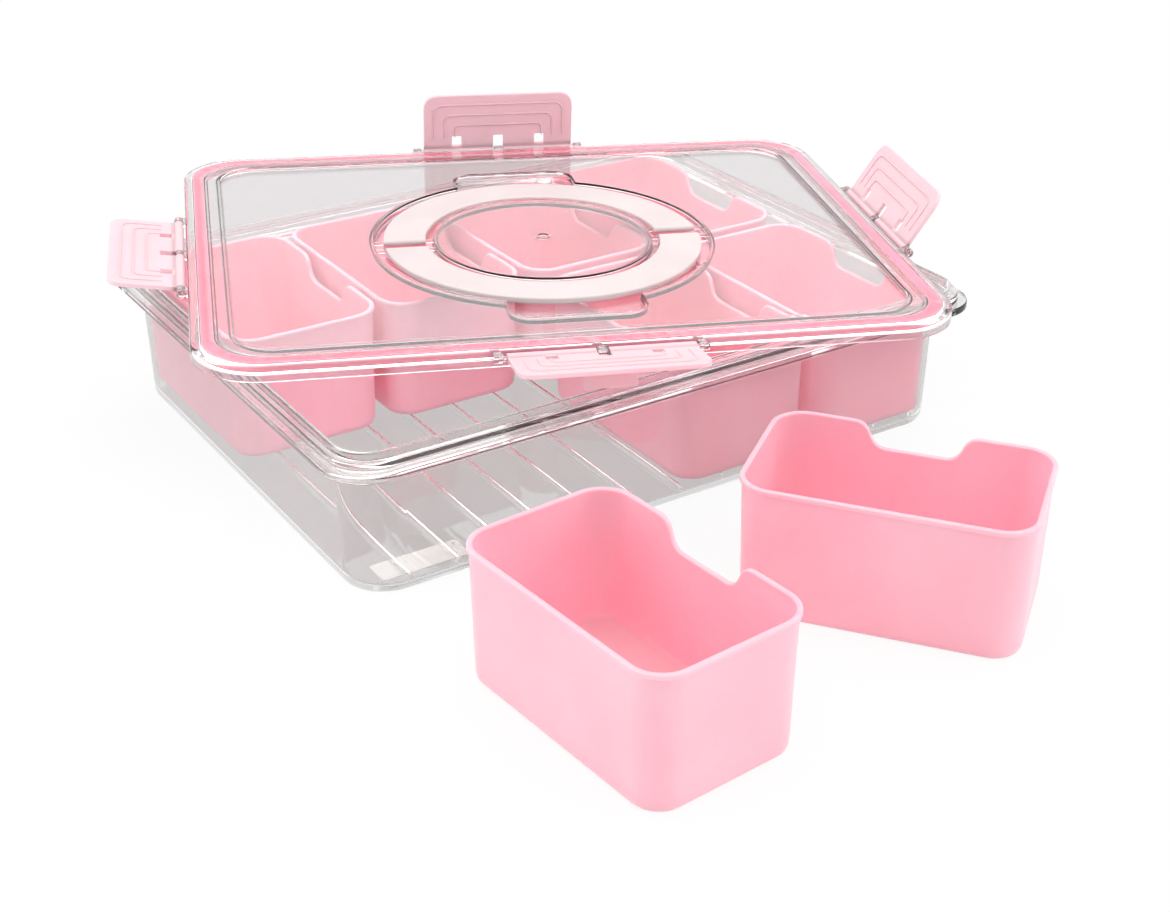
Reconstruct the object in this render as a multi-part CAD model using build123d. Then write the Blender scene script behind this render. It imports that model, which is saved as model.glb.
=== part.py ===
"""Divided snack tray: clear stepped tray, eight lift-out bins, clear lid laid askew on top.

Millimetres. X runs along the tray's long side, +Y points to its back and +Z up.
The origin is the centre of the tray's underside, which stands on z = 0.
The lid is modelled level and centred, then laid askew by one placement.
"""
import math
import os

from build123d import *

os.makedirs("parts", exist_ok=True)

CORNER_FLATS = 5
ROUND_FLATS = 36

# Tray
TRAY_L = 377.0
TRAY_W = 303.0
TRAY_R = 22.0
RIM_Z = 78.4
FLANGE_Z = 71.0
FLANGE_T = 4.0
STEP_IN = 4.5
RIM_IN = 7.4
WALL_IN = 11.8
FOOT_IN = 13.5
TRAY_WALL = 2.1
TRAY_FLOOR = 3.1
RIB_PITCH = 25.5
RIB_W = 1.4
RIB_H = 3.0
RIB_COUNT = 13
RIB_GAP = 2.8
RIB_SHIFT = 4.0
PAD_L = 46.0
PAD_W = 15.5
PAD_T = 1.2
PAD_X = 137.0
PAD_Y = 119.0

# Bins
BIN_W = 83.6
BIN_L = 133.6
BIN_H = 66.1
BIN_R = 16.6
BIN_WALL = 1.6
BIN_DRAFT = 1.6
LIP_OUT = 1.0
LIP_H = 2.4
NOTCH_TOP = 49.0
NOTCH_LOW = 38.0
NOTCH_DEEP = 12.5
NOTCH_R = 4.0
BIN_PITCH = 86.5
BIN_SHIFT = 0.0
ROW_Y = 70.9
SEAT = 0.3
LOOSE_NEAR = (-119.5, -269.0, 4.7)
LOOSE_RIGHT = (31.2, -261.7, 36.9)

# Lid
LID_L = 381.0
LID_W = 300.6
LID_R = 34.0
SKIRT_H = 8.5
LID_T = 1.9
BAND_W = 20.7
PANEL_DROP = 2.0
SEAL_IN = 5.2
SEAL_W = 6.4
SEAL_H = 4.2
LID_AT = (15.4, 15.8, 0.0)
LID_TURN = -21.05
LID_TIP = 1.26
LID_REST = 0.06

# Carrying ring in the lid
RING_IN = 64.0
RING_OUT = 87.0
RING_T = 3.6
RING_STEPS = 20
CHANNEL_IN = 60.0
CHANNEL_OUT = 92.0
CHANNEL_DEEP = 4.0
RING_AXIS_Y = 6.0
RING_PIN_R = 1.0
SCOOP_W = 70.0
SCOOP_Y = 107.0

# Latches
LATCH_W = 92.0
LATCH_L = 36.0
LATCH_T = 2.4
LATCH_R = 9.0
AXIS_OUT = 3.3
AXIS_DROP = 2.7
BARREL_R = 2.5
PIN_R = 1.25
RUN_FIT = 0.05
LUG_W = 5.0
LUG_X = 50.0
HOOK_W = 26.0
HOOK_AT = 17.0
HOOK_T = 3.0
HOOK_H = 12.6
SLOT_W = 6.2
GRIP_STOP = 9.0
HOLE_X = 25.7
HOLE = 6.0
OPEN_FRONT = 10.0
OPEN_LEFT = 8.0
OPEN_BACK = 92.0
OPEN_RIGHT = 58.0


def ring(length, width, radius, z, flats=CORNER_FLATS):
    """Points round a rounded rectangle at height z; each corner is a few short flats."""
    points = []
    for k, (sx, sy) in enumerate(((1, 1), (-1, 1), (-1, -1), (1, -1))):
        middle_x, middle_y = sx * (length / 2 - radius), sy * (width / 2 - radius)
        for i in range(flats + 1):
            angle = math.radians(90 * (k + i / flats))
            x, y = middle_x + radius * math.cos(angle), middle_y + radius * math.sin(angle)
            points.append(Vector(x, y, z))
    return points


def stack(rings):
    """Solid of flat bands that join each ring of points to the next, closed by its end rings."""
    faces = [Face(Wire.make_polygon(points)) for points in (rings[0], rings[-1])]
    for near, far in zip(rings, rings[1:]):
        for i in range(len(near)):
            j = (i + 1) % len(near)
            faces.append(Face(Wire.make_polygon([near[i], near[j], far[j], far[i]])))
    return Solid(Shell(faces))


def slab(length, width, radius, low, high, flare=0.0, foot=0.0, head=0.0, bends=2, flats=CORNER_FLATS):
    """Upright prism with rounded corners.

    flare is how far each side grows by the top; foot and head round the bottom and top edges
    with so many bends, and each corner has so many flats.
    """
    swing = [math.pi / 2 * k / bends for k in range(bends + 1)]
    levels = [(low, 0.0)]
    if foot:
        levels = [(low + foot * (1 - math.cos(a)), foot * (math.sin(a) - 1)) for a in swing]
    tops = [(high, 0.0)]
    if head:
        tops = [(high - head * (1 - math.sin(a)), head * (math.cos(a) - 1)) for a in swing]
    rings = []
    for z, bend in levels + tops:
        grow = flare * (z - low) / (high - low) + bend
        rings.append(ring(length + 2 * grow, width + 2 * grow, radius + grow, z, flats))
    return stack(rings)


def block(x0, x1, y0, y1, z0, z1):
    """Plain box between two corners."""
    middle = ((x0 + x1) / 2, (y0 + y1) / 2, (z0 + z1) / 2)
    return Pos(*middle) * Box(x1 - x0, y1 - y0, z1 - z0)


def disc(radius, low, high, flats=ROUND_FLATS):
    """Upright many-sided prism on the z axis."""
    turns = [2 * math.pi * i / flats for i in range(flats)]
    return stack([[Vector(radius * math.cos(a), radius * math.sin(a), z) for a in turns] for z in (low, high)])


def rod(radius, x0, x1, y, z, flats=0):
    """Round bar along X, or one with so many flats."""
    if flats:
        return Pos((x0 + x1) / 2, y, z) * Rot(0, 90, 0) * disc(radius, (x0 - x1) / 2, (x1 - x0) / 2, flats)
    return Pos((x0 + x1) / 2, y, z) * Rot(0, 90, 0) * Cylinder(radius, x1 - x0)


def tray():
    """Clear tray: drafted walls, stepped rim, ribbed floor, four pad pockets underneath."""
    flare = FOOT_IN - WALL_IN
    length, width = TRAY_L - 2 * FOOT_IN, TRAY_W - 2 * FOOT_IN
    radius = TRAY_R + 0.4
    under = FLANGE_Z - FLANGE_T
    body = slab(length, width, radius, 0, under + 1, flare, foot=4.5)
    body += slab(TRAY_L, TRAY_W, TRAY_R, under, FLANGE_Z)
    body += ledge(STEP_IN, under + 1, (FLANGE_Z + RIM_Z) / 2)
    body += ledge(RIM_IN, under + 1, RIM_Z, 0.7)
    inner_l, inner_w = length - 2 * TRAY_WALL, width - 2 * TRAY_WALL
    ledge_z = FLANGE_Z - TRAY_WALL / 2
    body -= slab(inner_l, inner_w, radius - TRAY_WALL, TRAY_FLOOR, ledge_z, flare, foot=2.6)
    body -= ledge(RIM_IN + TRAY_WALL, ledge_z - 0.5, RIM_Z + 1)
    reach = inner_w / 2 - RIB_GAP
    for i in range(RIB_COUNT):
        x = (i - (RIB_COUNT - 1) / 2) * RIB_PITCH + RIB_SHIFT
        body += block(x - RIB_W / 2, x + RIB_W / 2, -reach, reach, TRAY_FLOOR - 0.4, TRAY_FLOOR + RIB_H)
    for sx in (-1, 1):
        for sy in (-1, 1):
            body -= pad(sx, sy)
    return body


def ledge(inset, low, high, head=0.0):
    """Block following the tray's plan, set in from the flange's edge."""
    return slab(TRAY_L - 2 * inset, TRAY_W - 2 * inset, TRAY_R - inset / 2, low, high, head=head, bends=1)


def pad(sx, sy):
    """Anti-slip pad lying flush in the tray's underside."""
    return Pos(sx * PAD_X, sy * PAD_Y, 0) * slab(PAD_L, PAD_W, 2.0, 0, PAD_T, flats=2)


def bin_shell():
    """One bin standing on z = 0, long side along Y, finger notch in its +X rim."""
    top_w, top_l = BIN_W - 2 * LIP_OUT, BIN_L - 2 * LIP_OUT
    radius = BIN_R - LIP_OUT
    foot_w, foot_l = top_w - 2 * BIN_DRAFT, top_l - 2 * BIN_DRAFT
    shell = slab(foot_w, foot_l, radius - BIN_DRAFT, 0, BIN_H, BIN_DRAFT, foot=3.4, bends=1)
    shell += slab(BIN_W, BIN_L, BIN_R, BIN_H - LIP_H, BIN_H, head=0.6, bends=1)
    wall = BIN_WALL
    shell -= slab(foot_w - 2 * wall, foot_l - 2 * wall, radius - BIN_DRAFT - wall,
                  wall, BIN_H + 1, BIN_DRAFT, foot=2.4, bends=1)
    half_top, half_low, ease = NOTCH_TOP / 2, NOTCH_LOW / 2, NOTCH_R / 2
    lean = (half_top - half_low) / NOTCH_DEEP
    right = [(half_low - ease, -NOTCH_DEEP), (half_low + lean * ease, ease - NOTCH_DEEP),
             (half_top - lean * ease, -ease), (half_top + ease, 0), (half_top + ease, 8)]
    left = [(-y, z) for y, z in reversed(right)]
    face = make_face(Polyline(*left, *right, left[0]))
    plane = Plane(origin=(BIN_W / 2 - 12, 0, BIN_H), x_dir=(0, 1, 0), z_dir=(1, 0, 0))
    return shell - extrude(plane * face, 24)


def half_plane(side):
    """Everything in front of (-1) or behind (1) the ring's hinge axis."""
    far = CHANNEL_OUT + 10
    y0, y1 = (-far, -RING_AXIS_Y) if side < 0 else (RING_AXIS_Y, far)
    return block(-far, far, y0, y1, LID_TOP - 30, LID_TOP + 30)


def lid_rest_height():
    """Height of the tipped lid's top at its centre, its right skirt lying on the rim."""
    tip = math.radians(LID_TIP)
    return RIM_Z + LID_REST + SKIRT_H * math.cos(tip) + LID_L / 2 * math.sin(tip)


LID_TOP = lid_rest_height()
PANEL_Z = LID_TOP - PANEL_DROP
CHANNEL_Z = PANEL_Z - CHANNEL_DEEP
RING_Z = CHANNEL_Z + SEAT + RING_T / 2


def ring_half(side):
    """White half-ring handle lying in the channel, round-ended about its hinge axis."""
    half, soft = RING_T / 2, 1.0
    outline = [(RING_IN, soft - half), (RING_IN + soft, -half), (RING_OUT - soft, -half), (RING_OUT, soft - half),
               (RING_OUT, half - soft), (RING_OUT - soft, half), (RING_IN + soft, half), (RING_IN, half - soft)]
    sections = []
    for i in range(RING_STEPS + 1):
        angle = side * math.pi * i / RING_STEPS
        sections.append([Vector(r * math.cos(angle), r * math.sin(angle), RING_Z + z) for r, z in outline])
    bow = stack(sections) & half_plane(side)
    y = side * RING_AXIS_Y
    near = (RING_IN ** 2 - RING_AXIS_Y ** 2) ** 0.5
    far = (RING_OUT ** 2 - RING_AXIS_Y ** 2) ** 0.5
    for sx in (-1, 1):
        lo, hi = sorted((sx * near, sx * far))
        bow += rod(RING_T / 2, lo, hi, y, RING_Z, 8)
    return bow - rod(RING_PIN_R + RUN_FIT, -RING_OUT - 5, RING_OUT + 5, y, RING_Z)


def ring_bars(side):
    """The two bars across the channel on which one half ring turns."""
    y = side * RING_AXIS_Y
    inner = CHANNEL_IN - 1.2
    outer = CHANNEL_OUT + 1.2
    return [rod(RING_PIN_R, *sorted((s * inner, s * outer)), y, RING_Z) for s in (-1, 1)]


def latch_spot(side):
    """Placement of a latch's hinge axis: outward is local -Y, the axis runs along local X."""
    z = LID_TOP - AXIS_DROP
    half_w, half_l = LID_W / 2 + AXIS_OUT, LID_L / 2 + AXIS_OUT
    spots = {
        "front": Pos(0, -half_w, z),
        "right": Pos(half_l, 0, z) * Rot(0, 0, 90),
        "back": Pos(0, half_w, z) * Rot(0, 0, 180),
        "left": Pos(-half_l, 0, z) * Rot(0, 0, -90),
    }
    return spots[side]


def lug(x):
    """Clear hinge lug standing out of the skirt, at one end of the hinge bar."""
    reach = AXIS_OUT + LID_T / 2
    shape = rod(BARREL_R, x - LUG_W / 2, x + LUG_W / 2, 0, 0, 10)
    shape += block(x - LUG_W / 2, x + LUG_W / 2, 0, reach, -BARREL_R, BARREL_R - 0.4)
    return shape


def latch():
    """Flip latch, tab level and pointing to -Y, hook hanging below, hinge axis on X."""
    half = LATCH_W / 2
    front = block(-half, half, -LATCH_L, 0, -LATCH_T, LATCH_T + 1)
    tab = slab(LATCH_W, 2 * LATCH_L, LATCH_R, -LATCH_T / 2, LATCH_T / 2, head=0.5) & front
    tab += rod(BARREL_R, -half, half, 0, 0, 10)
    grips = front & Pos(0, -GRIP_STOP, 0) * front
    for i in range(3):
        inset = 5.5 + 6.5 * i
        long, deep, bend = LATCH_W - 2 * inset, LATCH_L - inset - GRIP_STOP, 6.0 - 1.3 * i
        low, high = LATCH_T / 2 - 0.3, LATCH_T / 2 + 0.6
        grip = slab(long, 2 * deep, bend, low, high, flats=2)
        grip -= slab(long - 2.4, 2 * deep - 2.4, bend - 1.2, low - 1, high + 1, flats=2)
        tab += Pos(0, -GRIP_STOP, 0) * grip & grips
    hook = block(-HOOK_W / 2, HOOK_W / 2, -HOOK_AT - HOOK_T / 2, -HOOK_AT + HOOK_T / 2, -HOOK_H, 0)
    hook = fillet(hook.edges().filter_by(Axis.X).sort_by(Axis.Z)[:2], 1.0)
    tab += hook
    tab -= block(-SLOT_W / 2, SLOT_W / 2, -10.0, BARREL_R + 1, -5, 5)
    for sx in (-1, 1):
        x = sx * HOLE_X
        tab -= block(x - HOLE / 2, x + HOLE / 2, -4.0 - HOLE, -4.0, -5, 5)
    return tab - rod(PIN_R + RUN_FIT, -half - 1, half + 1, 0, 0)


def lid():
    """Clear lid shell: skirt, rim band, seal wall, recessed panel, ring channel, latch lugs."""
    low = LID_TOP - SKIRT_H
    under = LID_TOP - LID_T
    shell = slab(LID_L, LID_W, LID_R, low, LID_TOP, head=3.4)
    skirt = SEAL_IN - 0.2 - LID_T
    shell -= slab(LID_L - 2 * LID_T, LID_W - 2 * LID_T, LID_R - LID_T, low - 1, under - skirt)
    shell -= slab(LID_L - 2 * LID_T - 2 * skirt, LID_W - 2 * LID_T - 2 * skirt, LID_R - LID_T - skirt,
                  low - 1, under)
    wall = SEAL_IN + SEAL_W + 0.2
    seal_wall = slab(LID_L - 2 * wall, LID_W - 2 * wall, LID_R - wall * 0.6, low + 2.4, under + 0.2)
    wall += 1.5
    seal_wall -= slab(LID_L - 2 * wall, LID_W - 2 * wall, LID_R - wall * 0.6, low, under + 1)
    shell += seal_wall
    edge = BAND_W - LID_T
    corner = LID_R - BAND_W * 0.6
    shell += slab(LID_L - 2 * edge, LID_W - 2 * edge, corner + LID_T, PANEL_Z - LID_T, LID_TOP - 0.2)
    shell -= slab(LID_L - 2 * BAND_W, LID_W - 2 * BAND_W, corner, PANEL_Z, LID_TOP + 1)
    floor = CHANNEL_Z - LID_T + 0.3
    shell += disc(CHANNEL_OUT + LID_T, floor, PANEL_Z - 0.1)
    shell -= disc(CHANNEL_IN - LID_T, floor - 1, PANEL_Z - LID_T)
    for side in (-1, 1):
        shell += scoop(side, SCOOP_W + 2 * LID_T, SCOOP_Y + LID_T, floor, PANEL_Z - 0.1, 12.0 + LID_T)
    shell -= disc(CHANNEL_OUT, CHANNEL_Z, LID_TOP + 1) - disc(CHANNEL_IN, CHANNEL_Z - 1, LID_TOP + 2)
    for side in (-1, 1):
        shell -= scoop(side, SCOOP_W, SCOOP_Y, CHANNEL_Z, LID_TOP + 1, 12.0)
    shell += disc(4.0, PANEL_Z - 0.1, PANEL_Z + 0.5, 12) - disc(2.6, PANEL_Z - 1, PANEL_Z + 2, 12)
    for side in (-1, 1):
        for bar in ring_bars(side):
            shell += bar
    for side in ("front", "right", "back", "left"):
        spot = latch_spot(side)
        for x in (-LUG_X, 0, LUG_X):
            shell += spot * lug(x)
        shell += spot * rod(PIN_R, -LUG_X, LUG_X, 0, 0)
    return shell


def scoop(side, width, reach, low, high, radius):
    """Finger pocket that widens the ring channel at its front (-1) or back (1)."""
    near = CHANNEL_OUT - 30.0
    pocket = Pos(0, side * near, 0) * slab(width, 2 * (reach - near), radius, low, high, flats=3)
    pocket &= block(-width, width, *sorted((side * near, side * (reach + 1))), low - 1, high + 1)
    return pocket - disc(CHANNEL_OUT - 1.0, low - 1, high + 1)


def seal():
    """Pink seal ring lying under the rim band."""
    top = LID_TOP - LID_T
    out, inn = SEAL_IN, SEAL_IN + SEAL_W
    ring = slab(LID_L - 2 * out, LID_W - 2 * out, LID_R - out, top - SEAL_H, top)
    ring -= slab(LID_L - 2 * inn, LID_W - 2 * inn, LID_R - inn * 0.6 - 2.0, top - SEAL_H - 1, top + 1)
    return ring


def placed():
    """Where the lid lies: askew on the tray and slightly tipped."""
    tip = Pos(0, 0, LID_TOP) * Rot(0, LID_TIP, 0) * Pos(0, 0, -LID_TOP)
    return Pos(*LID_AT) * Rot(0, 0, LID_TURN) * tip


def save(name, *shapes):
    """Write one node; several solids share it as a group."""
    solids = [s for shape in shapes for s in shape.solids()]
    whole = solids[0] if len(solids) == 1 else Compound(children=solids)
    whole.label = name
    export_step(whole, "parts/" + name + ".step")
    print(name, len(solids), "solid(s)", round(sum(s.volume for s in solids) / 1000, 2), "cm3")


save("tray", tray())
for tag_x, sx in (("left", -1), ("right", 1)):
    for tag_y, sy in (("front", -1), ("back", 1)):
        save("pad_" + tag_y + "_" + tag_x, pad(sx, sy))

SHELL = bin_shell()
STAND = TRAY_FLOOR + RIB_H + SEAT
for row, sign, columns in (("back", 1, (0, 1, 2, 3)), ("front", -1, (2, 3))):
    for column in columns:
        at = Pos((column - 1.5) * BIN_PITCH + BIN_SHIFT, sign * ROW_Y, STAND)
        save("bin_" + row + "_" + str(column + 1), at * SHELL)
for name, (x, y, turn) in (("bin_loose_near", LOOSE_NEAR), ("bin_loose_right", LOOSE_RIGHT)):
    save(name, Pos(x, y, 0) * Rot(0, 0, turn) * SHELL)

LAID = placed()
save("lid", LAID * lid())
save("lid_seal", LAID * seal())
for name, side in (("handle_front", -1), ("handle_back", 1)):
    save(name, LAID * ring_half(side))
LATCH = latch()
OPENED = (("front", OPEN_FRONT), ("right", OPEN_RIGHT), ("back", OPEN_BACK), ("left", OPEN_LEFT))
for side, angle in OPENED:
    spot = LAID * latch_spot(side)
    save("latch_" + side, spot * Rot(-angle, 0, 0) * LATCH)
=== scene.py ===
# %% [markdown]
# A divided snack tray: a clear stepped tray, pink lift-out bins, and a clear lid with a white
# carrying ring and flip latches, lying askew on top. The solid model gives every size. Here
# each piece gets a finer surface in the same place, and a finish of its own.

# %% Load the frame
import bpy
import numpy as np
from mathutils import Matrix, Vector


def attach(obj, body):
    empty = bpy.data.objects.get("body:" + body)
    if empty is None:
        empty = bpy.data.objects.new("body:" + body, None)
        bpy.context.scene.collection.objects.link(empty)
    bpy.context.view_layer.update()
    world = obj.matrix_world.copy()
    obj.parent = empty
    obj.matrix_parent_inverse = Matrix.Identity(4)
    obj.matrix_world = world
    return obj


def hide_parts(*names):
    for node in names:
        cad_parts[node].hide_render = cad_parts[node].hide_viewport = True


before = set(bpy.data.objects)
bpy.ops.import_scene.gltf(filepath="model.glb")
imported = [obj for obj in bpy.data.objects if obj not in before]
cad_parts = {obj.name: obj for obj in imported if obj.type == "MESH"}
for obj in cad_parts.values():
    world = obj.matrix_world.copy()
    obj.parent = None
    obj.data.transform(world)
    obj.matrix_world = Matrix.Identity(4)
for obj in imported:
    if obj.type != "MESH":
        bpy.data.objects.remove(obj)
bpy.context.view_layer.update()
scene = bpy.context.scene

# %% [markdown]
# The camera stands to the left of the front and looks down through a long lens. Its frame is
# turned a little, and the lens is shifted, because the picture is a crop whose middle is not
# where the lens was aimed.

# %% Place the camera
FRAME_W, FRAME_H = 1170, 912
SENSOR_MM = 36
FOCAL_PX = 1827.3
OPTICAL_X, OPTICAL_Y = 646.1, 390.1
AZIMUTH, ELEVATION, ROLL = np.radians([-34.94, 25.97, 0.95])
TARGET = Vector((0.05836, -0.0236, 0.0))
DISTANCE = 1.03434

level = np.cos(ELEVATION)
away = Vector((np.sin(AZIMUTH) * level, -np.cos(AZIMUTH) * level, np.sin(ELEVATION)))
right = Vector((0, 0, 1)).cross(away).normalized()
up = away.cross(right)
tilted_right = right * np.cos(ROLL) + up * np.sin(ROLL)
tilted_up = up * np.cos(ROLL) - right * np.sin(ROLL)
axes = Matrix((tilted_right, tilted_up, away)).transposed()
lens = bpy.data.cameras.new("camera")
camera = bpy.data.objects.new("camera", lens)
scene.collection.objects.link(camera)
camera.matrix_world = Matrix.Translation(TARGET + away * DISTANCE) @ axes.to_4x4()
lens.sensor_width = SENSOR_MM
lens.lens = SENSOR_MM * FOCAL_PX / FRAME_W
lens.shift_x = -(OPTICAL_X - FRAME_W / 2) / FRAME_W
lens.shift_y = (OPTICAL_Y - FRAME_H / 2) / FRAME_W
scene.camera = camera
print("lens", round(lens.lens, 2), "mm, shift", round(lens.shift_x, 4), round(lens.shift_y, 4))

# %% [markdown]
# Shader maths reads best as arithmetic. Wire wraps one socket: an expression on wires and
# numbers adds the Math nodes it needs, and make_node adds any other node, settings first.


# %% Write shader maths as arithmetic
class Wire:
    """One output socket in a node tree, with arithmetic."""

    def __init__(self, tree, socket):
        self.tree = tree
        self.socket = socket

    def math(self, operation, *values, clamp=False):
        settings = dict(operation=operation, use_clamp=clamp)
        return make_node(self.tree, "ShaderNodeMath", settings, dict(enumerate(values)))

    def __add__(self, other):
        return self.math("ADD", self, other)

    def __sub__(self, other):
        return self.math("SUBTRACT", self, other)

    def __rsub__(self, other):
        return self.math("SUBTRACT", other, self)

    def __mul__(self, other):
        return self.math("MULTIPLY", self, other)

    def __pow__(self, other):
        return self.math("POWER", self, other)

    __radd__ = __add__
    __rmul__ = __mul__


def make_node(tree, kind, settings=None, inputs=None, out=0):
    """Adds a node; its settings come first, then each input gets its value or its wire."""
    made = tree.nodes.new(kind)
    for name, value in (settings or {}).items():
        if name == "stops":
            for stop, (place, shade) in zip(made.color_ramp.elements, value):
                stop.position = place
                stop.color = shade
        else:
            setattr(made, name, value)
    for name, value in (inputs or {}).items():
        if isinstance(value, Wire):
            tree.links.new(value.socket, made.inputs[name])
        else:
            made.inputs[name].default_value = value
    return Wire(tree, made.outputs[out])


def linear(red, green, blue):
    """A screen colour of 0 to 255 per channel as the linear values that shaders use."""
    c = np.array([red, green, blue]) / 255
    return (*np.where(c <= 0.04045, c / 12.92, ((c + 0.055) / 1.055) ** 2.4).tolist(), 1.0)


def finish(name, surface):
    """A material whose shader is surface(tree, place); place is the Object coordinate."""
    made = bpy.data.materials.new(name)
    made.use_nodes = True
    tree = made.node_tree
    tree.nodes.clear()
    place = make_node(tree, "ShaderNodeTexCoord", out="Object")
    output = tree.nodes.new("ShaderNodeOutputMaterial")
    tree.links.new(surface(tree, place).socket, output.inputs["Surface"])
    return made


# %% [markdown]
# Moulded plastic is never one even colour: it has a faint mottle from the way it flowed into
# the mould, and a very fine grain that breaks up its highlights.


# %% Mix the moulded plastics
DRIFT_SCALE, GRAIN_SCALE, GRAIN_DEEP = 22.0, 2600.0, 0.00002
SCATTER_DEEP, SCATTER_SHARES = 0.006, (0.6, 0.65, 0.7)


def noise(tree, place, scale, detail):
    """Soft noise from 0 to 1 that repeats about scale times in a metre."""
    return make_node(tree, "ShaderNodeTexNoise", {}, {"Vector": place, "Scale": scale, "Detail": detail})


def bumps(tree, height, strength, deep):
    """A surface normal that leans as if height were carved so many metres deep."""
    return make_node(tree, "ShaderNodeBump", {}, {"Height": height, "Strength": strength, "Distance": deep})


def moulded(dark, light, roughness, scatter=0.0):
    """Opaque plastic whose colour drifts between two shades over a few centimetres."""

    def surface(tree, place):
        drift = noise(tree, place, DRIFT_SCALE, 3.0)
        speck = noise(tree, place, GRAIN_SCALE, 2.0)
        stops = [(0.35, dark), (0.65, light)]
        colour = make_node(tree, "ShaderNodeValToRGB", dict(stops=stops), {0: drift})
        return make_node(tree, "ShaderNodeBsdfPrincipled", {}, {
            "Base Color": colour, "Roughness": speck * 0.1 + (roughness - 0.05),
            "Normal": bumps(tree, speck, 0.2, GRAIN_DEEP), "Subsurface Weight": scatter,
            "Subsurface Radius": SCATTER_SHARES, "Subsurface Scale": SCATTER_DEEP})
    return surface


PINK = finish("bin_pink", moulded(linear(254, 189, 200), linear(255, 195, 205), 0.36, 1.0))
LATCH_PINK = finish("latch_pink", moulded(linear(252, 207, 215), linear(255, 213, 220), 0.38, 0.3))
WHITE = finish("handle_white", moulded(linear(226, 211, 211), linear(232, 219, 218), 0.35))
SEAL = finish("seal_pink", moulded(linear(254, 138, 163), linear(255, 148, 171), 0.5))
PAD = finish("pad_frosted", moulded(linear(246, 248, 246), linear(252, 253, 251), 0.55))


FLOW_SCALE, FLOW_DEEP, HAZE_SCALE, HAZE_ROUGH = 30.0, 0.0004, 300.0, 0.03


def see_through(shade):
    """Clear plastic that bends light, with the faint waviness and haze of a moulded wall."""

    def surface(tree, place):
        flow = noise(tree, place, FLOW_SCALE, 2.0)
        haze = noise(tree, place, HAZE_SCALE, 2.0)
        return make_node(tree, "ShaderNodeBsdfPrincipled", {}, {
            "Base Color": shade, "Roughness": haze * HAZE_ROUGH, "IOR": 1.5,
            "Normal": bumps(tree, flow, 0.25, FLOW_DEEP), "Transmission Weight": 1.0})
    return surface


CLEAR_TRAY = finish("clear_tray_plastic", see_through((0.92, 0.905, 0.9, 1)))
CLEAR_LID = finish("clear_lid_plastic", see_through((0.87, 0.83, 0.84, 1)))
print(len(bpy.data.materials), "finishes")

# %% [markdown]
# Nearly every piece here is one profile carried round a rounded rectangle. A column of the
# grid has a slide, which says where on the core rectangle of corner centres it belongs, and a
# way, the outward direction there. A row gives the half sizes, the corner radius and the
# height. So a point is slide times (half size - radius), plus way times radius.

# %% Carry profiles round a plan
MM = 0.001


def soften(corners, radius, steps=4, closed=False):
    """Rounds the corners of a run of points.

    Each bend is the curve (1-t)^2 a + 2 t (1-t) c + t^2 b from a, so far before the corner c,
    to b, as far after it. A point just outside each end of the bend keeps the flats flat.
    """
    c = np.array(corners, float)
    if closed:
        c = np.concatenate([c[-1:], c, c[:1]])
    sizes = np.broadcast_to(radius, len(c) - 2)
    t = np.linspace(0, 1, steps + 1)[:, None]
    parts = [] if closed else [c[:1]]
    for before, corner, after, size in zip(c, c[1:], c[2:], sizes):
        back, ahead = before - corner, after - corner
        long_back, long_ahead = np.linalg.norm(back), np.linalg.norm(ahead)
        reach = min(size, 0.42 * long_back, 0.42 * long_ahead)
        a, b = corner + back / long_back * reach, corner + ahead / long_ahead * reach
        bend = (1 - t) ** 2 * a + 2 * t * (1 - t) * corner + t ** 2 * b
        parts += [[a + (a - corner) * 0.12], bend, [b + (b - corner) * 0.12]]
    if not closed:
        parts.append(c[-1:])
    return np.concatenate(parts)


def plan(sides, corner_steps=12):
    """Slides and ways round a rounded rectangle, counter-clockwise from the +X side.

    sides lists, for each of the four sides, where its columns lie between -1 and 1.
    """
    swing = np.linspace(0, np.pi / 2, corner_steps + 1)
    slides, ways = [], []
    for k, side in enumerate(sides):
        cosine, sine = np.cos(k * np.pi / 2), np.sin(k * np.pi / 2)
        spin = np.array([[cosine, sine], [-sine, cosine]])
        flat = np.stack([np.ones(len(side)), side], 1)
        slides.append(np.concatenate([flat, np.ones((len(swing), 2))]) @ spin)
        turn = np.stack([np.cos(swing), np.sin(swing)], 1)
        ways.append(np.concatenate([np.tile([1.0, 0.0], (len(side), 1)), turn]) @ spin)
    return np.concatenate(slides), np.concatenate(ways)


def carry(profile, size, radius_at, columns):
    """Grid of points: profile rows of (inset, height), size (length, width), radius by inset."""
    slides, ways = columns
    inset, height = np.asarray(profile, float).T
    half = np.array(size) / 2 - inset[:, None, None]
    radius = radius_at(inset)[:, None, None]
    flat = slides * (half - radius) + ways * radius
    return np.concatenate([flat, np.broadcast_to(height[:, None, None], flat.shape[:2] + (1,))], 2)


def skin(grid, ends=True, loop=False):
    """Points and faces of a grid whose columns close round; rows may close too, or be capped."""
    rows, columns = grid.shape[:2]
    i, j = np.meshgrid(np.arange(rows if loop else rows - 1), np.arange(columns), indexing="ij")
    on, up_row = (j + 1) % columns, (i + 1) % rows
    faces = np.stack([i * columns + j, i * columns + on, up_row * columns + on, up_row * columns + j], -1)
    faces = faces.reshape(-1, 4).tolist()
    if ends and not loop:
        faces += [list(range(columns))[::-1], list(range((rows - 1) * columns, rows * columns))]
    return grid.reshape(-1, 3), faces


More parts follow.
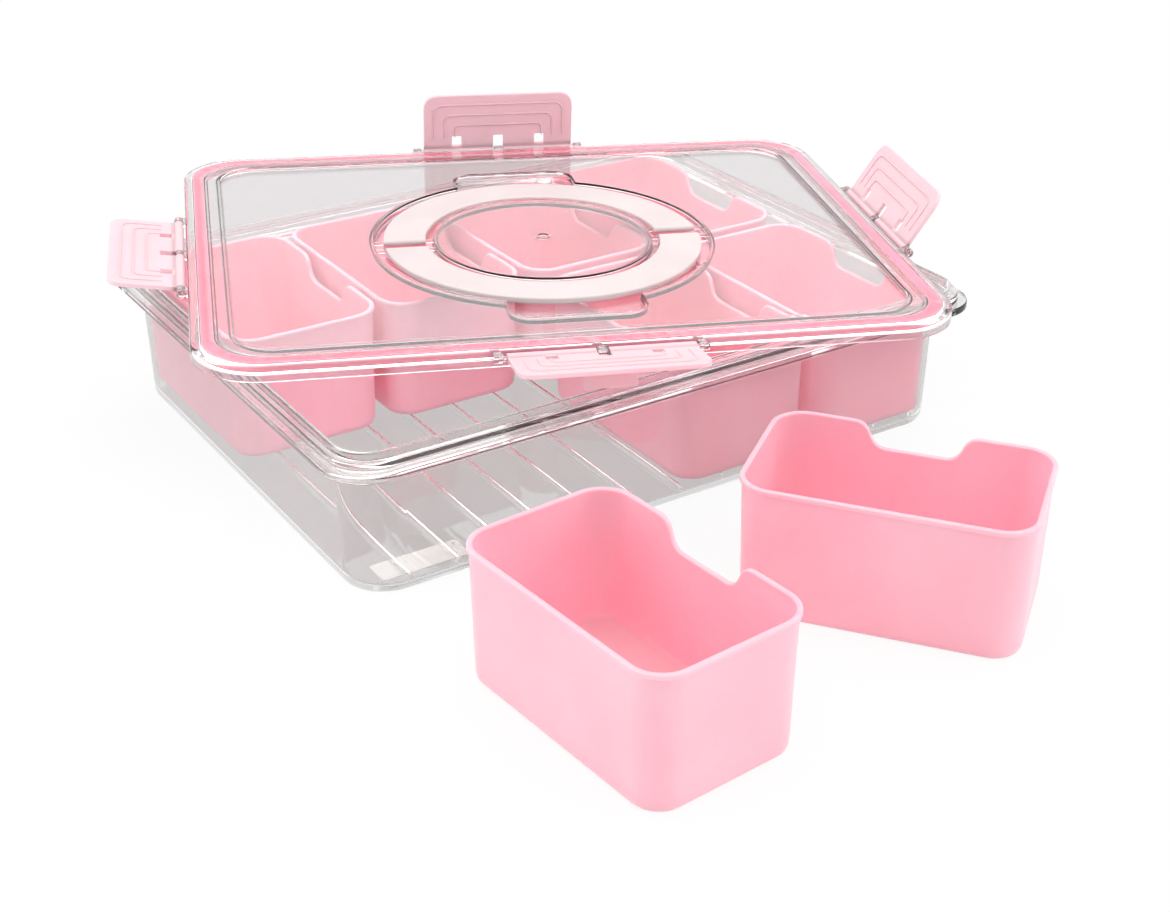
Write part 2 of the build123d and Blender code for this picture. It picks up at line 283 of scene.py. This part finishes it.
def add_piece(name, skins, body, material, slot_name, *stands_for):
    """One smooth object from several skins in millimetres; it rides, and replaces solid nodes."""
    points, faces, used = [], [], 0
    for skin_points, skin_faces in skins:
        points.append(skin_points)
        faces += [[used + k for k in face] for face in skin_faces]
        used += len(skin_points)
    data = bpy.data.meshes.new(name)
    data.from_pydata((np.concatenate(points) * MM).tolist(), [], faces)
    data.polygons.foreach_set("use_smooth", np.ones(len(data.polygons), dtype=bool))
    data.materials.append(material)
    made = bpy.data.objects.new(name, data)
    scene.collection.objects.link(made)
    made.modifiers.new("even_shading", "WEIGHTED_NORMAL")
    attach(made, body)
    if stands_for:
        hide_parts(*stands_for)
    return made


def even(count):
    """count columns spread between the ends of a side, without the ends."""
    return np.linspace(-1, 1, count + 2)[1:-1]


def turned(degrees, axis):
    """Rotation matrix about the axis 0, 1 or 2."""
    return np.array(Matrix.Rotation(np.radians(degrees), 3, "XYZ"[axis]))


# %% [markdown]
# A bin is one wall that keeps its thickness all the way: foot, drafted side, rolled rim, inner
# face and floor. The finger notch is a dip of the rim. Its outline is a trapezoid with rounded
# corners, the rolled rim follows it square to the outline, and the wall below is drawn down
# in proportion, so the notch needs no cutting.

# %% Mould one bin
BIN_W, BIN_L, BIN_H, BIN_R = 83.6, 133.6, 66.1, 16.6
BIN_FOOT_IN, BIN_WALL, LIP_OUT, LIP_H = 2.6, 1.6, 1.0, 2.4
NOTCH_TOP, NOTCH_LOW, NOTCH_DEEP, NOTCH_BEND = 49.0, 38.0, 12.5, 5.5
BEAD_DEEP, PULL_FROM = 2.6, 12.0


def notch_line():
    """Outline (y, height under the rim) of the +X rim: a trapezoid with rounded bends."""
    far = BIN_L / 2 - BIN_R
    top, low = NOTCH_TOP / 2, NOTCH_LOW / 2
    corners = [(-far, 0), (-top, 0), (-low, -NOTCH_DEEP), (low, -NOTCH_DEEP), (top, 0), (far, 0)]
    rough = soften(corners, NOTCH_BEND, 7)
    steps = np.concatenate([[0], np.cumsum(np.linalg.norm(np.diff(rough, axis=0), axis=1))])
    fine = np.linspace(0, steps[-1], 124)
    return np.stack([np.interp(fine, steps, rough[:, 0]), np.interp(fine, steps, rough[:, 1])], 1)[1:-1]


def bin_grid():
    """Grid of one bin that stands on z = 0 with its long side along Y and its notch at +X."""
    foot, wall, lip = BIN_FOOT_IN, BIN_WALL, LIP_OUT
    outer = soften([(foot + 9, 0), (foot, 0), (lip + 0.06, BIN_H - LIP_H), (0, BIN_H - LIP_H), (0, BIN_H),
                    (lip + wall, BIN_H), (lip + wall + 0.06, BIN_H - LIP_H), (foot + wall, wall),
                    (foot + wall + 9, wall)], [5.0, 0.4, 0.35, 1.1, 1.0, 0.5, 4.2], 5)
    line = notch_line()
    columns = plan([line[:, 0] / (BIN_L / 2 - BIN_R), even(6), even(10), even(6)], 12)
    grid = carry(outer, (BIN_W, BIN_L), lambda d: np.maximum(BIN_R - d, 0.5), columns)
    count = len(line)
    slope = np.gradient(line, axis=0)
    slope /= np.linalg.norm(slope, axis=1, keepdims=True)
    height = grid[:, :count, 2]
    under = np.clip(BIN_H - height, 0, BEAD_DEEP)
    pull = np.clip((height - PULL_FROM) / (BIN_H - BEAD_DEEP - PULL_FROM), 0, 1)
    grid[:, :count, 0] += pull * line[:, 1] * (BIN_FOOT_IN - LIP_OUT) / BIN_H
    grid[:, :count, 1] = line[:, 0] + under * slope[:, 1] * pull
    grid[:, :count, 2] = height + pull * (line[:, 1] + under * (1 - slope[:, 0]))
    return grid


BIN = bin_grid()
print("bin grid", BIN.shape[:2], "size", np.ptp(BIN.reshape(-1, 3), axis=0).round(1), "mm")

# %% [markdown]
# The same bin stands in each place of the tray, 0.3 mm above the floor ribs. Two are set
# outside, on the table, each turned its own way.

# %% Set out the bins
BIN_PITCH, ROW_Y = 86.5, 70.9
FLOOR_T, RIB_H, SEAT = 3.1, 3.0, 0.3
stand = FLOOR_T + RIB_H + SEAT
places = {}
for row, sign, numbers in (("back", 1, (1, 2, 3, 4)), ("front", -1, (3, 4))):
    for number in numbers:
        places[f"bin_{row}_{number}"] = ((number - 2.5) * BIN_PITCH, sign * ROW_Y, stand, 0)
places["bin_loose_near"] = (-119.5, -269.0, 0, 4.7)
places["bin_loose_right"] = (31.2, -261.7, 0, 36.9)
for name, (x, y, z, turn) in places.items():
    moved = BIN @ turned(turn, 2).T + (x, y, z)
    add_piece(name + "_moulding", [skin(moved)], name, PINK, "bin_pink", name)
print(len(places), "bins")

# %% [markdown]
# The tray's wall goes up from a rounded foot, turns out into a flange, and steps up twice to
# the rim. Through clear plastic each of these edges is seen as a line, so each one gets its own
# small bend. Thin ribs stand on its floor.

# %% Mould the tray
TRAY_L, TRAY_W, TRAY_R = 377.0, 303.0, 22.0
FLANGE_Z, RIM_Z, FLANGE_T = 71.0, 78.4, 4.0
FOOT_IN, WALL_IN, STEP_IN, RIM_IN, TRAY_WALL = 13.5, 11.8, 4.5, 7.4, 2.1
RIB_PITCH, RIB_W, RIB_COUNT, RIB_GAP, RIB_SHIFT = 25.5, 1.4, 13, 2.8, 4.0
ledge = FLANGE_Z - TRAY_WALL / 2
middle_step = (FLANGE_Z + RIM_Z) / 2


def tray_radius(inset):
    """Corner radius by inset: the walls are parallel offsets, the stepped rim turns half as fast."""
    wall_radius = TRAY_R + 0.4 + FOOT_IN - inset
    return np.where(inset > WALL_IN - 0.3, np.maximum(wall_radius, 3), TRAY_R - inset / 2)


outside = [(FOOT_IN + 9, 0), (FOOT_IN, 0), (WALL_IN, FLANGE_Z - FLANGE_T), (0, FLANGE_Z - FLANGE_T),
           (0, FLANGE_Z), (STEP_IN, FLANGE_Z), (STEP_IN, middle_step), (RIM_IN, middle_step), (RIM_IN, RIM_Z)]
inside = [(RIM_IN + TRAY_WALL, RIM_Z), (RIM_IN + TRAY_WALL, ledge), (WALL_IN + TRAY_WALL, ledge),
          (FOOT_IN + TRAY_WALL, FLOOR_T), (FOOT_IN + TRAY_WALL + 9, FLOOR_T)]
tray_line = soften(outside + inside, [4.5, 0.8, 0.9, 0.9, 0.5, 0.7, 0.5, 0.9, 0.9, 0.6, 0.8, 2.6], 4)
ring_columns = plan([even(8), even(10), even(8), even(10)], 14)
tray_grid = carry(tray_line, (TRAY_L, TRAY_W), tray_radius, ring_columns)


def floor_ribs():
    """Ribs along Y: an arched section, whose height fades to nothing over the last 3 mm."""
    reach = TRAY_W / 2 - FOOT_IN - TRAY_WALL - RIB_GAP
    y = np.concatenate([-reach + 3 * (1 - np.cos(np.linspace(0, 1, 6) * np.pi / 2)), [0],
                        reach - 3 * (1 - np.cos(np.linspace(1, 0, 6) * np.pi / 2))])
    fade = np.sqrt(np.clip(1 - ((abs(y) - reach + 3).clip(0) / 3) ** 2, 0.01, 1))
    turn = np.linspace(0, np.pi, 7)
    across = np.concatenate([[-RIB_W / 2], -np.cos(turn) * RIB_W / 2, [RIB_W / 2]])
    rise = np.concatenate([[-0.4], RIB_H - 0.7 + 0.7 * np.sin(turn), [-0.4]])
    height = FLOOR_T + rise[None, :] * fade[:, None]
    one = np.stack(np.broadcast_arrays(across[None, :], y[:, None], height), -1)
    shifts = (np.arange(RIB_COUNT) - (RIB_COUNT - 1) / 2) * RIB_PITCH + RIB_SHIFT
    return [skin(one[:, ::-1] + (shift, 0, 0)) for shift in shifts]


add_piece("tray_moulding", [skin(tray_grid)] + floor_ribs(), "tray", CLEAR_TRAY, "clear_tray", "tray")
print("tray grid", tray_grid.shape[:2])

# %% [markdown]
# Pads, latch tabs and hinge webs are plates: a closed outline, drawn in by the profile's inset
# at each height, with both faces capped. An outline's bends are wider than its rounded edge, so
# that no line drawn in crosses itself.


# %% Cut plates
def plate(corners, radii, low, high, edge):
    """Skin of a flat plate with rounded edges; the outward way is the outline's tangent turned."""
    line = soften(corners, radii, 8, closed=True)
    along = np.roll(line, -1, 0) - np.roll(line, 1, 0)
    way = np.stack([along[:, 1], -along[:, 0]], 1) / np.linalg.norm(along, axis=1, keepdims=True)
    profile = soften([(2.5 * edge, low), (0, low), (0, high), (2.5 * edge, high)], edge, 4)[1:-1]
    flat = line - way * profile[:, 0][:, None, None]
    height = np.broadcast_to(profile[:, 1][:, None, None], flat.shape[:2] + (1,))
    return skin(np.concatenate([flat, height], 2))


def box_corners(x0, x1, y0, y1):
    """Corners of a rectangle, counter-clockwise."""
    return [(x0, y0), (x1, y0), (x1, y1), (x0, y1)]


PAD_X, PAD_Y, PAD_L, PAD_W, PAD_T = 137, 119, 46, 15.5, 1.2
for sx, tag_x in ((-1, "left"), (1, "right")):
    for sy, tag_y in ((-1, "front"), (1, "back")):
        x, y = sx * PAD_X, sy * PAD_Y
        name = f"pad_{tag_y}_{tag_x}"
        outline = box_corners(x - PAD_L / 2, x + PAD_L / 2, y - PAD_W / 2, y + PAD_W / 2)
        shape = plate(outline, 2.0, 0, PAD_T, 0.3)
        add_piece(name + "_sheet", [shape], "tray", PAD, "pad", name)

# %% [markdown]
# The lid is modelled level, about its own middle, and then laid on the tray: tipped a little,
# turned, and moved. Its height follows from where its right skirt rests on the tray's rim.

# %% Lay the lid
LID_L, LID_W, LID_R = 381.0, 300.6, 34.0
SKIRT_H, LID_T, BAND_W, PANEL_DROP = 8.5, 1.9, 20.7, 2.0
SEAL_IN, SEAL_W, SEAL_H, SEAL_RADII = 5.2, 6.4, 4.2, (28.8, 25.0)
LID_AT, LID_TURN, LID_TIP, LID_REST = (15.4, 15.8, 0.0), -21.05, 1.26, 0.06
LID_TOP = RIM_Z + LID_REST + SKIRT_H * np.cos(np.radians(LID_TIP)) + LID_L / 2 * np.sin(np.radians(LID_TIP))


def laid(points):
    """Lid points, with z counted from the lid's top, moved to where the lid lies."""
    return points @ (turned(LID_TURN, 2) @ turned(LID_TIP, 1)).T + LID_AT + np.array([0, 0, LID_TOP])


def laid_skin(made):
    """The same for a skin of points and faces."""
    return laid(made[0]), made[1]


print("lid top", round(LID_TOP, 2), "mm above the table")

# %% [markdown]
# The lid is one moulding again, but its middle is round: a channel for the carrying ring, with
# a finger pocket at its front and back. So the rows change over from rounded rectangles to
# curves given by their distance from the middle at each column's angle. The finger pockets
# only push that distance out where they reach past the channel.

# %% Mould the lid
PANEL_FROM = 34
CHANNEL_IN, CHANNEL_OUT, CHANNEL_DEEP = 60.0, 92.0, 4.0
SCOOP_W, SCOOP_Y, SCOOP_R = 70.0, 107.0, 12.0
under = -LID_T
panel, panel_under = -PANEL_DROP, -PANEL_DROP - LID_T
channel = panel - CHANNEL_DEEP
channel_under = channel - LID_T + 0.3
skirt_low, thick_low = -SKIRT_H, -SEAL_IN + 0.2
seal_wall = SEAL_IN + SEAL_W + 0.2

y_side = np.concatenate([np.arange(-150, -68, 5), np.arange(-68, -18, 1.2), np.arange(-17, 18, 4)])
y_side = np.concatenate([y_side, -y_side[:-9][::-1]]) / (LID_L / 2 - LID_R)
lid_columns = plan([even(50), y_side, even(50), y_side], 16)


def lid_radius(inset):
    """Corner radius by inset: parallel at the skirt, then turning more slowly to the panel."""
    return np.interp(inset, [0, 5, BAND_W, 60], [LID_R, LID_R - 5, LID_R - 0.6 * BAND_W, 8])


rim_line = soften([
    (PANEL_FROM, panel_under), (BAND_W - LID_T, panel_under), (BAND_W - LID_T, under), (seal_wall + 1.5, under),
    (seal_wall + 1.5, skirt_low + 2.4), (seal_wall, skirt_low + 2.4), (seal_wall, under), (SEAL_IN - 0.2, under),
    (SEAL_IN - 0.2, thick_low), (LID_T, thick_low), (LID_T, skirt_low), (0, skirt_low), (0, 0), (BAND_W, 0),
    (BAND_W, panel), (PANEL_FROM, panel)],
    [0.6, 0.6, 0.4, 0.4, 0.4, 0.4, 0.4, 0.5, 0.5, 0.6, 0.6, 3.4, 0.9, 0.7], 3)
rim_grid = carry(rim_line, (LID_L, LID_W), lid_radius, lid_columns)
angle = np.arctan2(rim_grid[0, :, 1], rim_grid[0, :, 0])


def pocket_reach():
    """Distance from the middle to the union of the channel's circle and the finger pockets."""
    pockets = carry([(0, 0)], (SCOOP_W, 2 * SCOOP_Y), lambda d: d + SCOOP_R, plan([even(200)] * 4, 60))[0]
    seen, far = np.arctan2(pockets[:, 1], pockets[:, 0]), np.hypot(pockets[:, 0], pockets[:, 1])
    order = np.argsort(seen)
    return np.maximum(CHANNEL_OUT, np.interp(angle, seen[order], far[order], period=2 * np.pi))


def round_rows(edge, profile):
    """Rows at distance edge plus the profile's offset, along each column's angle."""
    offset, height = np.asarray(profile, float).T
    far = edge + offset[:, None] * np.ones_like(angle)
    level = np.broadcast_to(height[:, None], far.shape)
    return np.stack([far * np.cos(angle), far * np.sin(angle), level], 2)


edge = pocket_reach()
below = [round_rows(0, soften([(1.2, panel_under), (CHANNEL_IN - LID_T, panel_under),
                               (CHANNEL_IN - LID_T, channel_under), (70, channel_under)], 0.6, 3)),
         round_rows(edge, soften([(-15, channel_under), (LID_T, channel_under), (LID_T, panel_under),
                                  (5, panel_under)], 0.6, 3))]
above = [round_rows(edge, soften([(3, panel), (0, panel), (0, channel), (-6, channel)], [0.5, 0.8], 3)),
         round_rows(CHANNEL_IN, soften([(6, channel), (0, channel), (0, panel), (-3, panel)], [0.8, 0.5], 3)),
         round_rows(0, soften([(8, panel), (4.2, panel), (4.0, panel + 0.5), (2.8, panel + 0.5), (2.6, panel),
                               (1.2, panel)], 0.25, 3))]
lid_grid = np.concatenate(below + [rim_grid] + above)
print("lid grid", lid_grid.shape[:2])

# %% [markdown]
# Lugs stand out of the skirt, and thin bars run between them: the latches turn on these. Four
# more bars cross the channel for the two halves of the ring. All of them are turned shapes
# along X: a radius at each place along the bar.

# %% Add the hinge lugs and bars
AXIS_OUT, AXIS_DROP, BARREL_R, PIN_R = 3.3, 2.7, 2.5, 1.25
LUG_W, LUG_X = 5.0, 50.0
RING_AXIS_Y, RING_PIN_R, RING_T = 6.0, 1.0, 3.6
ring_z = channel + SEAT + RING_T / 2


def turned_bar(radius, x0, x1, edge=0.3, around=20):
    """Skin of a round bar along X with eased ends."""
    x, r = soften([(x0, radius - 2 * edge), (x0, radius), (x1, radius), (x1, radius - 2 * edge)], edge, 3).T
    turn = np.linspace(0, 2 * np.pi, around, endpoint=False)
    return skin(np.stack([np.broadcast_to(x[:, None], (len(x), around)), r[:, None] * np.cos(turn),
                          r[:, None] * np.sin(turn)], 2))


def shift(made, x=0, y=0, z=0):
    """A skin moved by so much."""
    return made[0] + (x, y, z), made[1]


def spin_skin(made, matrix):
    """A skin turned by a matrix."""
    return made[0] @ matrix.T, made[1]


SPOTS = {"front": ((0, -LID_W / 2 - AXIS_OUT), 0), "right": ((LID_L / 2 + AXIS_OUT, 0), 90),
         "back": ((0, LID_W / 2 + AXIS_OUT), 180), "left": ((-LID_L / 2 - AXIS_OUT, 0), -90)}


def at_spot(made, side):
    """Moves a latch's or lug's skin, hinge axis on X and outward at -Y, to its side of the lid."""
    (x, y), turn = SPOTS[side]
    return laid_skin(shift(spin_skin(made, turned(turn, 2)), x, y, -AXIS_DROP))


hinges = []
for side in SPOTS:
    hinges.append(at_spot(turned_bar(PIN_R, -LUG_X, LUG_X), side))
    for x in (-LUG_X, 0, LUG_X):
        hinges.append(at_spot(turned_bar(BARREL_R, x - LUG_W / 2, x + LUG_W / 2, 0.5), side))
        outline = box_corners(x - LUG_W / 2 + 0.2, x + LUG_W / 2 - 0.2, 0.5, AXIS_OUT + 1)
        hinges.append(at_spot(plate(outline, 0.8, -BARREL_R + 0.2, LID_T, 0.4), side))
for y in (-RING_AXIS_Y, RING_AXIS_Y):
    for x0, x1 in ((-CHANNEL_OUT - 1, -CHANNEL_IN + 1), (CHANNEL_IN - 1, CHANNEL_OUT + 1)):
        hinges.append(laid_skin(shift(turned_bar(RING_PIN_R, x0, x1, 0.2), 0, y, ring_z)))
add_piece("lid_moulding", [laid_skin(skin(lid_grid))] + hinges, "lid", CLEAR_LID, "clear_lid", "lid")
print(len(hinges), "lugs, webs and bars")

# %% [markdown]
# A soft pink seal runs all round under the lid's rim, seen through the clear plastic. Its
# profile closes on itself, so its rows close too.

# %% Press in the seal
seal_line = soften([(SEAL_IN, under - SEAL_H), (SEAL_IN, under), (SEAL_IN + SEAL_W, under),
                    (SEAL_IN + SEAL_W, under - SEAL_H)], [1.6, 0.6, 0.6, 1.6], 5, closed=True)
seal_grid = carry(seal_line, (LID_L, LID_W),
                  lambda inset: np.interp(inset, [SEAL_IN, SEAL_IN + SEAL_W], SEAL_RADII),
                  ring_columns)
add_piece("seal_ring", [laid_skin(skin(seal_grid, loop=True))], "lid", SEAL, "seal_pink", "lid_seal")

# %% [markdown]
# Each half of the white carrying ring is a flat section with soft edges, carried along a half
# circle. Its ends are cut square across the bar they turn on and rounded about that bar: over
# the last stretch the section thins like a half circle.

# %% Shape the carrying ring
RING_IN, RING_OUT = 64.0, 87.0


def ring_half():
    """Back half of the ring: at distance r from the middle, the turn runs from asin(y/r) on."""
    half = RING_T / 2
    corners = [(RING_OUT, half), (RING_OUT, -half), (RING_IN, -half), (RING_IN, half)]
    section = soften(corners, 1.1, 4, closed=True)
    r, z = section.T
    past = np.sin(np.linspace(1, 0, 9) * 1.45) * half
    thin = np.sqrt(1 - (past / half) ** 2)
    ends = np.arcsin((RING_AXIS_Y - past)[:, None] / r)
    start = np.arcsin(RING_AXIS_Y / r)
    part = np.linspace(0, 1, 72)[1:-1, None]
    turn = np.concatenate([ends, start + part * (np.pi - 2 * start), np.pi - ends[::-1]])
    scale = np.concatenate([thin, np.ones(len(part)), thin[::-1]])[:, None]
    return np.stack([r * np.cos(turn), r * np.sin(turn), z * scale], 2)


half_ring = ring_half()
for name, turn in (("handle_back", 0), ("handle_front", 180)):
    placed = laid(half_ring @ turned(turn, 2).T + (0, 0, ring_z))
    add_piece(name + "_bow", [skin(placed)], name, WHITE, "handle_white", name)
print("ring half grid", half_ring.shape[:2])

# %% [markdown]
# A flip latch is a thin tab with rounded outer corners and three raised U-shaped grips on its
# outer face. Towards the hinge it is cut like a comb: its teeth reach the barrel that turns on
# the lid's bar. A tongue below catches under the tray's rim.

# %% Build a latch
LATCH_W, LATCH_L, LATCH_T, LATCH_R = 92.0, 36.0, 2.4, 9.0
HOOK_W, HOOK_AT, HOOK_T, HOOK_H = 26.0, 17.0, 3.0, 12.6
SLOT_W, HOLE_X, HOLE, GRIP_STOP, COMB_DEEP = 6.2, 25.7, 6.0, 9.0, 10.0


def grip(inset, bend):
    """Raised U: a half-round section carried along a path down, across and up again."""
    x, y = LATCH_W / 2 - inset - 0.6, -LATCH_L + inset + 0.6
    path = soften([(-x, -GRIP_STOP), (-x, y), (x, y), (x, -GRIP_STOP)], bend, 8)
    along = np.gradient(path, axis=0)
    way = np.stack([along[:, 1], -along[:, 0]], 1) / np.linalg.norm(along, axis=1, keepdims=True)
    turn = np.linspace(-0.3, np.pi + 0.3, 9)
    swell = np.ones((len(path), 1))
    swell[[0, -1]] = 0.3
    across = way[:, None] * (np.cos(turn) * 0.6)[:, None] * swell[:, None]
    height = (LATCH_T / 2 + np.sin(turn) * 0.55) * np.ones_like(swell)
    grid = np.concatenate([path[:, None] + across, height[:, :, None]], 2)
    return skin(grid)


def latch_skins():
    """All the skins of one latch, its tab level and pointing to -Y."""
    half, slot = LATCH_W / 2, SLOT_W / 2
    top, hole0, hole1 = LATCH_T / 2, HOLE_X - HOLE / 2, HOLE_X + HOLE / 2
    comb = [(half, -LATCH_L), (half, 0), (hole1, 0), (hole1, -COMB_DEEP), (hole0, -COMB_DEEP), (hole0, 0),
            (slot, 0), (slot, -COMB_DEEP)]
    comb += [(-x, y) for x, y in comb[::-1]]
    made = [plate(comb, [LATCH_R] + [0.8] * 14 + [LATCH_R], -top, top, 0.4)]
    for a, b in ((slot, half), (-half, -slot)):
        made.append(plate(box_corners(a, b, -4.0, 0.4), 0.8, 0.02 - top, top - 0.02, 0.4))
        made.append(turned_bar(BARREL_R, a, b, 0.4, 28))
    for k in range(3):
        made.append(grip(5.5 + 6.5 * k, 6.0 - 1.3 * k))
    tongue = plate(box_corners(-HOOK_W / 2, HOOK_W / 2, -HOOK_H, 0), [1.2, 1.2, 0.8, 0.8],
                   HOOK_AT - HOOK_T / 2, HOOK_AT + HOOK_T / 2, 0.45)
    made.append(spin_skin(tongue, turned(90, 0)))
    return made


OPENED = {"front": 10.0, "right": 58.0, "back": 92.0, "left": 8.0}
for side, opened in OPENED.items():
    skins = [at_spot(spin_skin(made, turned(-opened, 0)), side) for made in latch_skins()]
    add_piece(f"latch_{side}_tab", skins, f"latch_{side}", LATCH_PINK, "latch_pink", f"latch_{side}")
print(len(skins), "skins in each latch")

# %% [markdown]
# The stage is a white table in a white surround. The camera and reflections see both as white,
# and through the clear plastic the table is a light grey: painted shade, its glow dimmed by a
# set amount. A face renders lighter or darker than its colour is written, by the way it faces:
# level faces come out up to about a third brighter, so the ring is written darker than it looks.

# %% Light the stage
AMBIENT, SIDE_LIGHT, TOP_LIGHT, TOP_THROUGH = 0.5, 1.0, 1.7, 3.9
LEFT_FROM, RIGHT_FROM = (-0.84, 0.50, 0.2), (0.68, -0.70, 0.2)
# the last number is a painted shade: how far the table's glow is dimmed for rays through the plastic
WHITE_SHARE, SHADED_SHARE, THROUGH_PAINTED_SHADE = 0.88, 0.82, 0.38
LAMP_AWAY, LAMP_SIZE, LAMP_WATTS = 1.8, 1.0, 5


def lobe(tree, heading, side, power):
    """The cosine between heading and side, from 0 up, raised to a power."""
    facing = make_node(tree, "ShaderNodeVectorMath", dict(operation="DOT_PRODUCT"),
                       {0: heading, 1: side}, "Value")
    return facing.math("MAXIMUM", facing, 0.0) ** power


def white_surround():
    """A world that is white to the eye, to gloss and through plastic; it lights from two sides.

    For the light that falls on things its strength is the ambient part, plus a soft lobe round
    each side direction: a power of the cosine between a ray and that direction. A lobe
    straight overhead is out of the camera's sight. It is wider and stronger for light that
    comes in through the plastic: that part is a device, fitted to how bright the bins look there.
    """
    world = bpy.data.worlds.new("surround")
    world.use_nodes = True
    tree = world.node_tree
    tree.nodes.clear()
    heading = make_node(tree, "ShaderNodeTexCoord", out="Generated")
    strength = AMBIENT
    for side in (LEFT_FROM, RIGHT_FROM):
        strength = strength + lobe(tree, heading, side, 6.0) * SIDE_LIGHT
    seen = seen_white(tree)
    inside = ray(tree, "Is Transmission Ray") * lobe(tree, heading, (0, 0, 1), 1.5) * TOP_THROUGH
    strength = strength * (1 - seen) + seen + lobe(tree, heading, (0, 0, 1), 4.0) * TOP_LIGHT + inside
    back = make_node(tree, "ShaderNodeBackground", {}, {"Color": (1, 1, 1, 1), "Strength": strength})
    tree.links.new(back.socket, tree.nodes.new("ShaderNodeOutputWorld").inputs["Surface"])
    return world


def ray(tree, kind):
    """1 for rays of one kind, 0 for the rest."""
    return make_node(tree, "ShaderNodeLightPath", out=kind)


def seen_white(tree):
    """1 for rays of the camera, of gloss and through clear plastic, 0 for the rest."""
    seen = ray(tree, "Is Camera Ray")
    seen = seen.math("ADD", seen, ray(tree, "Is Glossy Ray"), clamp=True)
    return seen.math("ADD", seen, ray(tree, "Is Transmission Ray"), clamp=True)


def table_top(tree, place):
    """White table: mostly plain white to the eye; through the plastic its white glow is dimmed, a painted shade.
    """
    through = ray(tree, "Is Transmission Ray")
    # painted shade: for rays through the plastic the table's glow is dimmed by a set amount
    strength = 1 - through * THROUGH_PAINTED_SHADE
    plain = make_node(tree, "ShaderNodeEmission", {}, {"Color": (1, 1, 1, 1), "Strength": strength})
    paper = make_node(tree, "ShaderNodeBsdfDiffuse", {}, {"Color": (0.9, 0.9, 0.9, 1)})
    share = seen_white(tree) * WHITE_SHARE - through * (WHITE_SHARE - SHADED_SHARE)
    return make_node(tree, "ShaderNodeMixShader", {}, {0: share, 1: paper, 2: plain})


def lamp(name, side):
    """A square soft box that hangs on one side and faces the object."""
    place = LAMP_AWAY * Vector(side)
    data = bpy.data.lights.new(name, "AREA")
    data.size = LAMP_SIZE
    data.energy = LAMP_WATTS
    made = bpy.data.objects.new(name, data)
    scene.collection.objects.link(made)
    aim = (-place).to_track_quat("-Z", "Y").to_matrix().to_4x4()
    made.matrix_world = Matrix.Translation(place) @ aim


scene.world = white_surround()
table = bpy.data.meshes.new("table")
table.from_pydata([(-6, -6, 0), (6, -6, 0), (6, 6, 0), (-6, 6, 0)], [], [(0, 1, 2, 3)])
table.materials.append(finish("table_white", table_top))
table_object = bpy.data.objects.new("table", table)
scene.collection.objects.link(table_object)
lamp("soft_box_left", LEFT_FROM)
lamp("soft_box_right", RIGHT_FROM)
scene.view_settings.view_transform = "Standard"
scene.cycles.max_bounces = 24
scene.cycles.diffuse_bounces = 8
scene.cycles.transmission_bounces = 24
